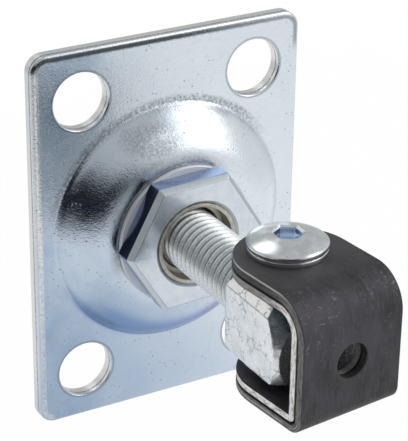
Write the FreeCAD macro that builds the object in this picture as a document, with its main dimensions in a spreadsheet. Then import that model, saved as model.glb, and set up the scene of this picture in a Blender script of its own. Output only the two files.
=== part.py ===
"""Adjustable gate hinge: domed wall plate, captive adjusting nut, threaded eye bolt and pivoting strap bracket.

Millimetres. The origin is the middle of the plate's back face. The plate stands upright in X and Z, the
stud points along -Y away from the wall, and the pivot pin is vertical.
"""
import FreeCAD, Part
import math
import os
import re
import Sketcher

Vector = FreeCAD.Vector

SIZES = {
    # Wall plate
    "plate_width": 85.0,
    "plate_height": 115.0,
    "plate_thickness": 4.5,
    "plate_corner": 5.0,
    "plate_edge": 0.9,
    "fixing_hole": 17.0,
    "fixing_inset": 15.0,
    # Dome pressed out of the plate
    "dome_foot": 73.0,
    "dome_top": 42.0,
    "dome_height": 9.0,
    "dome_wall": 4.2,
    "dome_crease": 1.6,
    # Adjusting nut: hexagon, threaded sleeve and washers
    "collar_flats": 38.3,
    "collar_thickness": 7.0,
    "collar_bevel_in": 1.15,
    "collar_bevel_back": 1.7,
    "collar_mouth": 0.9,
    "collar_turn": 2.0,
    "front_washer_band": 8.3,
    "front_washer_thickness": 1.4,
    "rear_washer_band": 7.3,
    "rear_washer_thickness": 1.4,
    "sleeve_wall": 3.35,
    "sleeve_recess": 0.3,
    "sleeve_flange": 6.1,
    "sleeve_flange_thickness": 3.4,
    "sleeve_tail": 1.2,
    "thread_lead_in": 0.8,
    "washer_edge": 0.2,
    "sleeve_rim": 1.2,
    "counterbore_depth": 4.5,
    # Eye bolt
    "stud_diameter": 18.0,
    "thread_pitch": 2.5,
    "thread_overcut": 0.12,
    "stud_tail": 1.0,
    "pin_distance": 69.0,
    "eye_cheek": 3.0,
    "eye_lip_above": 0.7,
    "eye_lip_below": 0.3,
    "eye_front": 16.8,
    "eye_back": 9.2,
    "eye_corner": 3.2,
    "eye_bevel_in": 2.0,
    "eye_bevel_down": 2.8,
    "eye_nose_in": 1.45,
    "eye_nose_back": 1.1,
    "eye_nose_drop": 3.0,
    "shoulder_blend": 1.5,
    # Pivot pin, its washers and its nut
    "pin_diameter": 12.0,
    "head_diameter": 22.0,
    "head_rim": 1.4,
    "head_dome": 2.8,
    "socket_flats": 7.0,
    "socket_depth": 4.5,
    "socket_bevel": 0.7,
    "socket_turn": 23.5,
    "eye_bore_mouth": 0.5,
    "head_washer_band": 4.75,
    "head_washer_thickness": 1.5,
    "thrust_washer_band": 4.95,
    "thrust_washer_thickness": 2.75,
    "nut_flats": 18.0,
    "nut_thickness": 6.0,
    "nut_face_step": 0.9,
    "pin_end": 1.5,
    # Strap bracket
    "strip_width": 33.0,
    "strip_thickness": 2.5,
    "strip_gap": 0.2,
    "gap_under_eye": 2.4,
    "gap_before_eye": 6.0,
    "upper_reach": 13.3,
    "lower_reach": 10.3,
    "upper_bend_outside": 11.0,
    "upper_bend_seam": 7.5,
    "upper_bend_inside": 5.5,
    "lower_bend_outside": 4.5,
    "lower_bend_seam": 2.1,
    "lower_bend_inside": 1.2,
    "gate_hole": 10.0,
    "gate_hole_drop": 0.8,
    "bracket_swing": 6.5,
    # Clearances
    "running_gap": 0.15,
    "turning_clearance": 0.05,
    "sleeve_clearance": 0.3,
    "leg_clearance": 0.15,
    "press_clearance": 0.02,
    # How far a cut runs past the metal that it trims
    "cut_overrun": 1.0,
}

doc = FreeCAD.newDocument("gate_hinge")
sheet = doc.addObject("Spreadsheet::Sheet", "sizes")
for row, (name, value) in enumerate(SIZES.items(), start=1):
    sheet.set("A%d" % row, name)
    sheet.set("B%d" % row, str(value))
    sheet.setAlias("B%d" % row, name)
doc.recompute()

# Formulas of several sizes that more than one piece uses
PLATE_FRONT = "plate_thickness"
DOME_FACE = "(plate_thickness + dome_height)"
DOME_ARC = "(((dome_foot - dome_top) / 2) ^ 2 + dome_height ^ 2) / (2 * dome_height)"
DOME_BACK = "(plate_thickness + dome_height - dome_wall)"
SLEEVE_RADIUS = "(stud_diameter / 2 + turning_clearance + sleeve_wall)"
COLLAR_BACK = "(plate_thickness + dome_height + front_washer_thickness + running_gap)"
COLLAR_FACE = "(plate_thickness + dome_height + front_washer_thickness + running_gap + collar_thickness)"
SLEEVE_HOLE = "(stud_diameter / 2 + turning_clearance + sleeve_wall + sleeve_clearance)"
FLANGE_FACE = "(plate_thickness + dome_height - dome_wall - rear_washer_thickness - running_gap)"
THREAD_DEPTH = "(0.613 * thread_pitch)"
EYE_HALF = "(stud_diameter / 2 + shoulder_blend + eye_cheek)"
EYE_TOP = "(stud_diameter / 2 + shoulder_blend + eye_lip_above)"
EYE_UNDER = "(stud_diameter / 2 + shoulder_blend + eye_lip_below)"
EYE_BORE = "(pin_diameter / 2 + turning_clearance)"
PLY = "(strip_thickness + strip_gap)"
PLIES = "(2 * strip_thickness + strip_gap)"
UPPER_INSIDE = "(%s + thrust_washer_thickness + running_gap)" % EYE_TOP
BRACKET_TOP = "(%s + %s)" % (UPPER_INSIDE, PLIES)
BRACKET_BOTTOM = "(%s + gap_under_eye + %s)" % (EYE_UNDER, PLIES)
WEB_FACE = "(eye_front + gap_before_eye + %s)" % PLIES
HEAD_SEAT = "(%s + head_washer_thickness)" % BRACKET_TOP
HEAD_TOP = "(%s + head_rim + head_dome)" % HEAD_SEAT
HEAD_ARC = "((head_diameter / 2) ^ 2 + head_dome ^ 2) / (2 * head_dome)"
NUT_UNDER = "(%s + nut_thickness)" % BRACKET_BOTTOM
LEG_HOLE = "(pin_diameter / 2 + leg_clearance)"


def formula(text):
    """Turns a formula of size names into one that reads the sheet."""
    return re.sub(r"[a-z_]+", lambda word: "sizes." + word.group() if word.group() in SIZES else word.group(), text)


def size(text):
    """The number that a formula of size names gives."""
    return float(sheet.evalExpression(formula(text)))


def new_body(label):
    body = doc.addObject("PartDesign::Body", label)
    body.Label = label
    return body


def plane(body, role):
    return next(feature for feature in body.Origin.OriginFeatures if feature.Role == role)


def new_sketch(body, name, role, offset=None):
    """A sketch on one of the body's own planes, moved along its normal by a formula."""
    sketch = body.newObject("Sketcher::SketchObject", name)
    sketch.AttachmentSupport = (plane(body, role), [""])
    sketch.MapMode = "FlatFace"
    if offset:
        sketch.setExpression("AttachmentOffset.Base.z", formula(offset))
    return sketch


def arc_between(start, end, radius, side):
    """The short arc from start to end whose centre lies left (side 1) or right (side -1) of the way."""
    chord = end - start
    half = chord.Length / 2
    across = Vector(-chord.y, chord.x, 0) / chord.Length
    centre = (start + end) / 2 + across * side * math.sqrt(max(radius ** 2 - half ** 2, 0.0))
    first, last = (start, end) if side > 0 else (end, start)
    begin = math.atan2(first.y - centre.y, first.x - centre.x)
    finish = math.atan2(last.y - centre.y, last.x - centre.x)
    return Part.ArcOfCircle(Part.Circle(centre, Vector(0, 0, 1), radius), begin, finish)


def outline(sketch, corners, arcs=None):
    """A closed outline through corners given as formulas.

    arcs maps the number of a stretch, counted from the corner that it leaves, to its radius formula and
    to the side of its centre. Every corner is held by its two distances from the sketch's origin.
    """
    arcs = arcs or {}
    first = sketch.GeometryCount
    count = len(corners)
    places = [Vector(size(across), size(up), 0) for across, up in corners]
    starts, ends = [], []
    for number in range(count):
        here, following = places[number], places[(number + 1) % count]
        if number in arcs:
            radius, side = arcs[number]
            sketch.addGeometry(arc_between(here, following, size(radius), side))
            starts.append(1 if side > 0 else 2)
            ends.append(2 if side > 0 else 1)
        else:
            sketch.addGeometry(Part.LineSegment(here, following))
            starts.append(1)
            ends.append(2)
    for number in range(count):
        following = (number + 1) % count
        joint = ("Coincident", first + number, ends[number], first + following, starts[following])
        sketch.addConstraint(Sketcher.Constraint(*joint))
    for number, (across, up) in enumerate(corners):
        for kind, text, value in (("DistanceX", across, places[number].x), ("DistanceY", up, places[number].y)):
            rule = Sketcher.Constraint(kind, -1, 1, first + number, starts[number], value)
            index = sketch.addConstraint(rule)
            sketch.setExpression("Constraints[%d]" % index, formula(text))
    for number, (radius, side) in arcs.items():
        index = sketch.addConstraint(Sketcher.Constraint("Radius", first + number, size(radius)))
        sketch.setExpression("Constraints[%d]" % index, formula(radius))


def circle(sketch, across, up, radius):
    """A circle whose centre and radius are formulas."""
    here = sketch.addGeometry(Part.Circle(Vector(size(across), size(up), 0), Vector(0, 0, 1), size(radius)))
    rules = [("DistanceX", across), ("DistanceY", up)]
    for kind, text in rules:
        index = sketch.addConstraint(Sketcher.Constraint(kind, -1, 1, here, 3, size(text)))
        sketch.setExpression("Constraints[%d]" % index, formula(text))
    index = sketch.addConstraint(Sketcher.Constraint("Radius", here, size(radius)))
    sketch.setExpression("Constraints[%d]" % index, formula(radius))


def hexagon(sketch, flats):
    """A hexagon about the sketch's origin with flats at its top and bottom."""
    half, point = "(%s) / 2" % flats, "(%s) / sqrt(3)" % flats
    ways = (("", ""), ("0.5 * ", ""), ("-0.5 * ", ""), ("-", ""), ("-0.5 * ", "-"), ("0.5 * ", "-"))
    corners = []
    for number, (across, up) in enumerate(ways):
        on_axis = number in (0, 3)
        corners.append((across + point, "0" if on_axis else up + half))
    outline(sketch, corners)


def pad(body, sketch, name, length, symmetric=False, towards_back=False):
    feature = body.newObject("PartDesign::Pad", name)
    feature.Profile = sketch
    feature.setExpression("Length", formula(length))
    feature.SideType = "Symmetric" if symmetric else "One side"
    feature.Reversed = towards_back
    return feature


def pocket(body, sketch, name, length=None, towards_normal=False):
    """Cuts the sketch's outline out of the body: right through, or to a depth given by a formula."""
    feature = body.newObject("PartDesign::Pocket", name)
    feature.Profile = sketch
    if length:
        feature.setExpression("Length", formula(length))
        feature.Reversed = towards_normal
    else:
        feature.Type = "ThroughAll"
        feature.SideType = "Symmetric"
    return feature


def turn(body, sketch, name, cut=False):
    """Revolves a half section about the sketch's upright axis."""
    feature = body.newObject("PartDesign::Groove" if cut else "PartDesign::Revolution", name)
    feature.Profile = sketch
    feature.ReferenceAxis = (sketch, ["V_Axis"])
    feature.Angle = 360
    return feature


def helix_cut(body, sketch, name, pitch, length):
    """Cuts a right-hand helical groove down the sketch's upright axis, against its direction."""
    doc.recompute()
    feature = body.newObject("PartDesign::SubtractiveHelix", name)
    feature.Profile = sketch
    feature.ReferenceAxis = (sketch, ["V_Axis"])
    feature.Mode = "pitch-height-angle"
    feature.setExpression("Pitch", formula(pitch))
    feature.setExpression("Height", formula(length))
    feature.Reversed = True
    return feature


def chosen_edges(feature, choose):
    """The names of the feature's edges that the test picks."""
    doc.recompute()
    names = ["Edge%d" % number for number, edge in enumerate(feature.Shape.Edges, start=1) if choose(edge)]
    if not names:
        raise ValueError("no edge found on " + feature.Label)
    return names


def fillet(body, base, name, radius, choose):
    names = chosen_edges(base, choose)
    feature = body.newObject("PartDesign::Fillet", name)
    feature.Base = (base, names)
    feature.setExpression("Radius", formula(radius))
    return feature


def chamfer(body, base, name, length, choose):
    names = chosen_edges(base, choose)
    feature = body.newObject("PartDesign::Chamfer", name)
    feature.Base = (base, names)
    feature.setExpression("Size", formula(length))
    return feature


def close(first, second):
    return abs(first - second) < 1e-4


def is_circle(edge, radius):
    return edge.Curve.TypeId == "Part::GeomCircle" and close(edge.Curve.Radius, radius)


def place_at_pin(body):
    """Puts a body that is drawn about the pin's axis in its place, swung with the bracket."""
    body.Placement = FreeCAD.Placement(Vector(0, 0, 0), FreeCAD.Rotation(Vector(0, 0, 1), size("bracket_swing")))
    body.setExpression("Placement.Base.y", formula("-pin_distance"))
    body.setExpression("Placement.Rotation.Angle", formula("bracket_swing"))


def turn_with_nut(body):
    """Turns a body with the adjusting nut about the stud's axis."""
    body.Placement = FreeCAD.Placement(Vector(0, 0, 0), FreeCAD.Rotation(Vector(0, -1, 0), size("collar_turn")))
    body.setExpression("Placement.Rotation.Angle", formula("collar_turn"))


def washer_at(label, band, back, front):
    """A flat washer round the sleeve, between two distances from the wall, with broken edges."""
    body = new_body(label)
    sketch = new_sketch(body, label + "_section", "XY_Plane")
    radius = "%s + %s" % (SLEEVE_HOLE, band)
    outline(sketch, [
        (SLEEVE_HOLE, "-" + back), (radius + " - washer_edge", "-" + back), (radius, "-%s - washer_edge" % back),
        (radius, "-%s + washer_edge" % front), (radius + " - washer_edge", "-" + front), (SLEEVE_HOLE, "-" + front),
    ])
    turn(body, sketch, label + "_turned")
    return body


def back_plate():
    """One sheet: a rounded rectangle with a domed middle, hollow behind, and four fixing holes."""
    body = new_body("back_plate")
    blank = new_sketch(body, "plate_outline", "XZ_Plane")
    side, inner_side = "plate_width / 2", "(plate_width / 2 - plate_corner)"
    up, inner_up = "plate_height / 2", "(plate_height / 2 - plate_corner)"
    outline(blank, [
        ("-" + inner_side, "-" + up), (inner_side, "-" + up), (side, "-" + inner_up), (side, inner_up),
        (inner_side, up), ("-" + inner_side, up), ("-" + side, inner_up), ("-" + side, "-" + inner_up),
    ], {number: ("plate_corner", 1) for number in (1, 3, 5, 7)})
    sheet_metal = pad(body, blank, "plate_sheet", "plate_thickness")
    front = -size(PLATE_FRONT)
    fillet(body, sheet_metal, "plate_front_edge", "plate_edge",
           lambda edge: all(close(vertex.Point.y, front) for vertex in edge.Vertexes))

    swell = new_sketch(body, "dome_section", "XY_Plane")
    outline(swell, [
        ("0", "-plate_thickness / 2"),
        ("dome_foot / 2", "-plate_thickness / 2"),
        ("dome_foot / 2", "-" + PLATE_FRONT),
        ("dome_top / 2", "-" + DOME_FACE),
        ("0", "-" + DOME_FACE),
    ], {2: (DOME_ARC, -1)})
    raised = turn(body, swell, "dome_raised")
    crease = size("dome_foot / 2")
    fillet(body, raised, "dome_crease_blend", "dome_crease",
           lambda edge: is_circle(edge, crease) and close(edge.Curve.Center.y, front))

    hollow = new_sketch(body, "hollow_section", "XY_Plane")
    inner_arc = "(%s - dome_wall)" % DOME_ARC
    rise = "(%s - %s)" % (DOME_ARC, DOME_FACE)
    mouth = "(dome_top / 2 + sqrt(%s ^ 2 - %s ^ 2))" % (inner_arc, rise)
    outline(hollow, [
        ("0", "0"),
        ("0", "-" + DOME_BACK),
        ("dome_top / 2", "-" + DOME_BACK),
        (mouth, "0"),
    ], {2: (inner_arc, 1)})
    hollowed = turn(body, hollow, "dome_hollow", cut=True)
    hollow_mouth = size(mouth)
    fillet(body, hollowed, "hollow_mouth_blend", "dome_crease", lambda edge: is_circle(edge, hollow_mouth))

    holes = new_sketch(body, "hole_layout", "XZ_Plane")
    circle(holes, "0", "0", SLEEVE_HOLE)
    for across in ("", "-"):
        for high in ("", "-"):
            circle(holes, across + "(plate_width / 2 - fixing_inset)", high + "(plate_height / 2 - fixing_inset)",
                   "fixing_hole / 2")
    pocket(body, holes, "holes")
    return body


def adjusting_collar():
    """Hexagon with a straight bevel round its face and a bore for the sleeve."""
    body = new_body("adjusting_collar")
    seat = new_sketch(body, "collar_hexagon", "XZ_Plane", COLLAR_BACK)
    hexagon(seat, "collar_flats")
    pad(body, seat, "collar_blank", "collar_thickness - collar_bevel_back")
    wide = new_sketch(body, "bevel_foot", "XZ_Plane", COLLAR_FACE + " - collar_bevel_back")
    hexagon(wide, "collar_flats")
    narrow = new_sketch(body, "bevel_top", "XZ_Plane", COLLAR_FACE)
    hexagon(narrow, "(collar_flats - 2 * collar_bevel_in)")
    bevel = body.newObject("PartDesign::AdditiveLoft", "collar_bevel")
    bevel.Profile = wide
    bevel.Sections = [narrow]
    bore = new_sketch(body, "collar_bore_outline", "XZ_Plane")
    circle(bore, "0", "0", SLEEVE_RADIUS + " + press_clearance")
    bored = pocket(body, bore, "collar_bore")
    radius, face = size(SLEEVE_RADIUS + " + press_clearance"), -size(COLLAR_FACE)
    chamfer(body, bored, "collar_mouth_bevel", "collar_mouth",
            lambda edge: is_circle(edge, radius) and close(edge.Curve.Center.y, face))
    turn_with_nut(body)
    return body


def adjusting_sleeve():
    """Threaded sleeve: a flange inside the dome, a counterbore at the front, the thread's bore between."""
    body = new_body("adjusting_sleeve")
    section = new_sketch(body, "sleeve_section", "XY_Plane")
    outside, bore = SLEEVE_RADIUS, "(stud_diameter / 2 + turning_clearance)"
    end = "(%s - sleeve_recess)" % COLLAR_FACE
    floor = "(%s - counterbore_depth)" % end
    outline(section, [
        (outside, "-%s" % end),
        (outside, "-" + FLANGE_FACE),
        (outside + " + sleeve_flange", "-" + FLANGE_FACE),
        (outside + " + sleeve_flange", "-%s + sleeve_flange_thickness" % FLANGE_FACE),
        (outside, "-%s + sleeve_flange_thickness" % FLANGE_FACE),
        (outside, "-sleeve_tail"),
        (bore, "-sleeve_tail"),
        (bore, "-%s + thread_lead_in" % floor),
        (bore + " + thread_lead_in", "-" + floor),
        (outside + " - sleeve_rim", "-" + floor),
        (outside + " - sleeve_rim", "-" + end),
    ])
    turn(body, section, "sleeve_turned")
    turn_with_nut(body)
    return body


def eye_bolt():
    """Square eye forged in one with the stud, drawn about the pin's axis with the stud along +Y."""
    body = new_body("eye_bolt")
    side = new_sketch(body, "eye_side", "YZ_Plane")
    outline(side, [
        ("-eye_front", "-" + EYE_UNDER), ("eye_back - eye_corner", "-" + EYE_UNDER),
        ("eye_back", "-%s + eye_corner" % EYE_UNDER), ("eye_back", EYE_TOP + " - eye_corner"),
        ("eye_back - eye_corner", EYE_TOP), ("-eye_front", EYE_TOP),
    ], {1: ("eye_corner", 1), 3: ("eye_corner", 1)})
    pad(body, side, "eye_block", "2 * " + EYE_HALF, symmetric=True)

    shoulders = new_sketch(body, "shoulder_bevels", "XZ_Plane")
    edge, inner = EYE_HALF, "(%s - eye_bevel_in)" % EYE_HALF
    start = EYE_TOP + " - eye_bevel_down"
    outline(shoulders, [
        (edge, start), (edge + " + cut_overrun", start), (edge + " + cut_overrun", EYE_TOP + " + cut_overrun"),
        (inner, EYE_TOP + " + cut_overrun"), (inner, EYE_TOP),
    ])
    outline(shoulders, [
        ("-" + edge, start), ("-" + inner, EYE_TOP), ("-" + inner, EYE_TOP + " + cut_overrun"),
        ("-%s - cut_overrun" % edge, EYE_TOP + " + cut_overrun"), ("-%s - cut_overrun" % edge, start),
    ])
    pocket(body, shoulders, "eye_upper_bevels")

    nose = new_sketch(body, "nose_section", "XY_Plane", "-eye_nose_drop")
    tip, reach = "(%s - eye_nose_in)" % EYE_HALF, "(%s + %s)" % (EYE_HALF, EYE_TOP)
    fall = "(%s - %s) * eye_nose_back / eye_nose_in" % (reach, tip)
    outline(nose, [
        (tip, "-eye_front"), (tip, "-eye_front - cut_overrun"), (reach, "-eye_front - cut_overrun"),
        (reach, "-eye_front + " + fall),
    ])
    turn(body, nose, "eye_nose", cut=True)

    shank = new_sketch(body, "stud_section", "XY_Plane")
    tail = "(pin_distance - stud_tail)"
    outline(shank, [
        ("0", "eye_back - eye_corner"),
        ("stud_diameter / 2 + shoulder_blend", "eye_back - eye_corner"),
        ("stud_diameter / 2 + shoulder_blend", "eye_back"),
        ("stud_diameter / 2", "eye_back + shoulder_blend"),
        ("stud_diameter / 2", "%s - %s" % (tail, THREAD_DEPTH)),
        ("stud_diameter / 2 - " + THREAD_DEPTH, tail),
        ("0", tail),
    ], {2: ("shoulder_blend", -1)})
    turn(body, shank, "stud_turned")

    # The thread's groove: 60 degree flanks, an eighth of the pitch left as crest, and a narrow flat root
    groove = new_sketch(body, "thread_section", "XY_Plane")
    begin, finish = "(%s + thread_pitch)" % tail, "(eye_back + shoulder_blend + thread_pitch / 2)"
    root, above = "(stud_diameter / 2 - %s)" % THREAD_DEPTH, "(stud_diameter / 2 + thread_overcut)"
    root_half = "(7 / 16 * thread_pitch - %s / sqrt(3))" % THREAD_DEPTH
    above_half = "(7 / 16 * thread_pitch + thread_overcut / sqrt(3))"
    outline(groove, [
        (root, "%s - %s" % (begin, root_half)), (above, "%s - %s" % (begin, above_half)),
        (above, "%s + %s" % (begin, above_half)), (root, "%s + %s" % (begin, root_half)),
    ])
    helix_cut(body, groove, "stud_thread", "thread_pitch", "%s - %s" % (begin, finish))

    bore = new_sketch(body, "eye_bore_section", "XZ_Plane")
    flare = EYE_BORE + " + eye_bore_mouth + cut_overrun"
    outline(bore, [
        ("0", "-%s - cut_overrun" % EYE_UNDER), (flare, "-%s - cut_overrun" % EYE_UNDER),
        (EYE_BORE, "-%s + eye_bore_mouth" % EYE_UNDER), (EYE_BORE, EYE_TOP + " - eye_bore_mouth"),
        (flare, EYE_TOP + " + cut_overrun"), ("0", EYE_TOP + " + cut_overrun"),
    ])
    turn(body, bore, "eye_bore", cut=True)
    body.Placement = FreeCAD.Placement(Vector(0, -size("pin_distance"), 0), FreeCAD.Rotation())
    body.setExpression("Placement.Base.y", formula("-pin_distance"))
    return body


def strap(label, inset, outside, inside):
    """One bent strap of the bracket: a U of strip, drawn about the pin's axis with its web towards -Y.

    inset is how far the strap lies inside the bracket's outer faces; outside and inside are the radii of
    its upper and lower bends. The leg ends are rounded over the strip's full width.
    """
    body = new_body(label)
    side = new_sketch(body, label + "_side", "YZ_Plane")
    web, top, bottom = ("(%s - %s)" % (face, inset) for face in (WEB_FACE, BRACKET_TOP, BRACKET_BOTTOM))
    back, under, over = ("(%s - strip_thickness)" % face for face in (web, top, bottom))
    outline(side, [
        ("upper_reach", top), ("-%s + %s" % (web, outside[0]), top),
        ("-" + web, "%s - %s" % (top, outside[0])), ("-" + web, "-%s + %s" % (bottom, outside[1])),
        ("-%s + %s" % (web, outside[1]), "-" + bottom), ("lower_reach", "-" + bottom),
        ("lower_reach", "-" + over), ("-%s + %s" % (back, inside[1]), "-" + over),
        ("-" + back, "-%s + %s" % (over, inside[1])), ("-" + back, "%s - %s" % (under, inside[0])),
        ("-%s + %s" % (back, inside[0]), under), ("upper_reach", under),
    ], {1: (outside[0], 1), 3: (outside[1], 1), 7: (inside[1], -1), 9: (inside[0], -1)})
    pad(body, side, label + "_bent", "strip_width", symmetric=True)

    for leg, reach, height, upwards in (("upper", "upper_reach", BRACKET_TOP, True),
                                        ("lower", "lower_reach", BRACKET_BOTTOM, False)):
        trim = new_sketch(body, "%s_%s_end" % (label, leg), "XY_Plane")
        half, spring = "strip_width / 2", "(%s - strip_width / 2)" % reach
        outline(trim, [
            (half, spring), (half + " + cut_overrun", spring), (half + " + cut_overrun", reach + " + cut_overrun"),
            ("-%s - cut_overrun" % half, reach + " + cut_overrun"), ("-%s - cut_overrun" % half, spring),
            ("-" + half, spring), ("0", reach),
        ], {5: (half, -1), 6: (half, -1)})
        pocket(body, trim, "%s_%s_rounded" % (label, leg), height + " + cut_overrun", towards_normal=upwards)

    for name, role, up, radius in (("pin_hole", "XY_Plane", "0", LEG_HOLE),
                                   ("gate_hole", "XZ_Plane", "-gate_hole_drop", "gate_hole / 2")):
        hole = new_sketch(body, "%s_%s_outline" % (label, name), role)
        circle(hole, "0", up, radius)
        pocket(body, hole, "%s_%s" % (label, name))
    place_at_pin(body)
    return body


def flat_ring(label, band, bore, low, high):
    """A flat washer round the pin, between two heights, with broken edges."""
    body = new_body(label)
    sketch = new_sketch(body, label + "_section", "XZ_Plane")
    radius = "%s + %s" % (bore, band)
    outline(sketch, [
        (bore, low), (radius + " - washer_edge", low), (radius, low + " + washer_edge"),
        (radius, high + " - washer_edge"), (radius + " - washer_edge", high), (bore, high),
    ])
    turn(body, sketch, label + "_turned")
    place_at_pin(body)
    return body


def pivot_pin():
    """Pin with a low domed head, a hexagon socket and a bevelled end."""
    body = new_body("pivot_pin")
    section = new_sketch(body, "pin_section", "XZ_Plane")
    shank, head, end = "pin_diameter / 2", "head_diameter / 2", "(%s + pin_end)" % NUT_UNDER
    outline(section, [
        ("0", "-" + end), ("%s - pin_end / 2" % shank, "-" + end), (shank, "-%s + pin_end / 2" % end),
        (shank, HEAD_SEAT), (head, HEAD_SEAT), (head, HEAD_SEAT + " + head_rim"), ("0", HEAD_TOP),
    ], {5: (HEAD_ARC, 1)})
    turn(body, section, "pin_turned")
    mouth = new_sketch(body, "socket_mouth", "XZ_Plane")
    corner = "(socket_flats / sqrt(3))"
    outline(mouth, [
        ("0", HEAD_TOP + " - socket_bevel"), (corner, HEAD_TOP + " - socket_bevel"),
        (corner + " + 2 * socket_bevel", HEAD_TOP + " + socket_bevel"), ("0", HEAD_TOP + " + socket_bevel"),
    ])
    turn(body, mouth, "socket_cone", cut=True)
    key = new_sketch(body, "socket_outline", "XY_Plane", HEAD_TOP)
    key.setExpression("AttachmentOffset.Rotation.Angle", "sizes.socket_turn")
    hexagon(key, "socket_flats")
    pocket(body, key, "socket", "socket_depth")
    place_at_pin(body)
    return body


def lock_nut():
    """Hexagon nut with rounded corners that holds the pin under the lower leg."""
    body = new_body("lock_nut")
    face = new_sketch(body, "nut_hexagon", "XY_Plane", "-" + NUT_UNDER)
    hexagon(face, "nut_flats")
    pad(body, face, "nut_blank", "nut_thickness")
    bore = new_sketch(body, "nut_bore_outline", "XY_Plane")
    circle(bore, "0", "0", "pin_diameter / 2 + press_clearance")
    pocket(body, bore, "nut_bore")
    inner, outer = "(nut_flats - nut_face_step) / 2", "(nut_flats / sqrt(3) + cut_overrun)"
    fall = "(%s - %s) / sqrt(3)" % (outer, inner)
    ring = new_sketch(body, "nut_corner_section", "XZ_Plane")
    outline(ring, [
        (inner, "-" + NUT_UNDER), (outer, "-%s + %s" % (NUT_UNDER, fall)),
        (outer, "-%s - cut_overrun" % NUT_UNDER), (inner, "-%s - cut_overrun" % NUT_UNDER),
    ])
    turn(body, ring, "nut_corners", cut=True)
    place_at_pin(body)
    return body


pieces = [
    back_plate(),
    washer_at("front_washer", "front_washer_band", DOME_FACE, "(%s + front_washer_thickness)" % DOME_FACE),
    adjusting_collar(),
    adjusting_sleeve(),
    washer_at("rear_washer", "rear_washer_band", "(%s - rear_washer_thickness)" % DOME_BACK, DOME_BACK),
    eye_bolt(),
    flat_ring("thrust_washer", "thrust_washer_band", EYE_BORE, EYE_TOP, "(%s + thrust_washer_thickness)" % EYE_TOP),
    strap("inner_bracket", PLY, ("upper_bend_seam", "lower_bend_seam"), ("upper_bend_inside", "lower_bend_inside")),
    strap("outer_bracket", "0", ("upper_bend_outside", "lower_bend_outside"),
          ("upper_bend_seam", "lower_bend_seam")),
    flat_ring("head_washer", "head_washer_band", LEG_HOLE, BRACKET_TOP, HEAD_SEAT),
    pivot_pin(),
    lock_nut(),
]
doc.recompute()

for item in doc.Objects:
    if "Invalid" in item.State or "Error" in item.State:
        raise RuntimeError("%s is %s" % (item.Label, item.State))
for piece in pieces:
    if piece.Shape.isNull() or not piece.Shape.isValid() or len(piece.Shape.Solids) != 1:
        raise RuntimeError(piece.Label + " has no sound solid")

os.makedirs("parts", exist_ok=True)
for piece in pieces:
    piece.Shape.exportStep("parts/%s.step" % piece.Label)
    print("%-18s %10.1f mm3" % (piece.Label, piece.Shape.Volume))
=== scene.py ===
"""Adjustable gate hinge: a domed and zinc-plated wall plate, a captive adjusting nut, a threaded eye bolt
and a dark strap bracket that swings on a pin. Lengths are in millimetres and turned into metres once."""
import math

import bmesh
import bpy
from mathutils import Matrix, Vector, noise


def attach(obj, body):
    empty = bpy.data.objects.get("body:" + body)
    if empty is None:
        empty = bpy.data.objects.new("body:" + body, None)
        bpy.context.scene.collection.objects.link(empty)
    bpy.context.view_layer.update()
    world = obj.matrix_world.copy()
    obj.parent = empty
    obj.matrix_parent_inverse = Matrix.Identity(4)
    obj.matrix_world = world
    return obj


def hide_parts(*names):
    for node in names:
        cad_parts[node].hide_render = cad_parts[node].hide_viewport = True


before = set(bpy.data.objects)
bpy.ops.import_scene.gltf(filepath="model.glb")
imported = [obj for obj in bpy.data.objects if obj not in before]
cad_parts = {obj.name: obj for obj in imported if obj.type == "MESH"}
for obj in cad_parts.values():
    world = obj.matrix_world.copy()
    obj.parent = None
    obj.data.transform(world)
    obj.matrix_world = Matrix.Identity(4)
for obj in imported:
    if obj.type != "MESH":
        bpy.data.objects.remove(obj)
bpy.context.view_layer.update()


# Wall plate
# One blank of 4.5 mm steel sheet. Its middle is pressed out into a hollow dome that carries the nut, and
# four large fixing holes are punched beside it. It is bright zinc plated after pressing.
MM = 0.001


class Signal:
    """A shader socket that plain arithmetic works on: each operator adds one Math node."""

    def __init__(self, finish, socket):
        self.finish = finish
        self.socket = socket

    def maths(self, operation, first, second=0.0):
        node = self.finish.add("ShaderNodeMath", {"operation": operation}, {0: first, 1: second})
        return Signal(self.finish, node.outputs[0])

    def __add__(self, other):
        return self.maths("ADD", self, other)

    def __radd__(self, other):
        return self.maths("ADD", other, self)

    def __sub__(self, other):
        return self.maths("SUBTRACT", self, other)

    def __rsub__(self, other):
        return self.maths("SUBTRACT", other, self)

    def __mul__(self, other):
        return self.maths("MULTIPLY", self, other)

    def __rmul__(self, other):
        return self.maths("MULTIPLY", other, self)

    def __truediv__(self, other):
        return self.maths("DIVIDE", self, other)

    def __pow__(self, other):
        return self.maths("POWER", self, other)

    def __abs__(self):
        return self.maths("ABSOLUTE", self)

    def between(self, low, high):
        """0 below low, 1 above high, and smooth between them."""
        node = self.finish.add(
            "ShaderNodeMapRange", {"interpolation_type": "SMOOTHSTEP"},
            {"Value": self, "From Min": low, "From Max": high},
        )
        return Signal(self.finish, node.outputs["Result"])

    def at_least(self, other):
        return self.maths("MAXIMUM", self, other)

    def sine(self):
        return self.maths("SINE", self)


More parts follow.
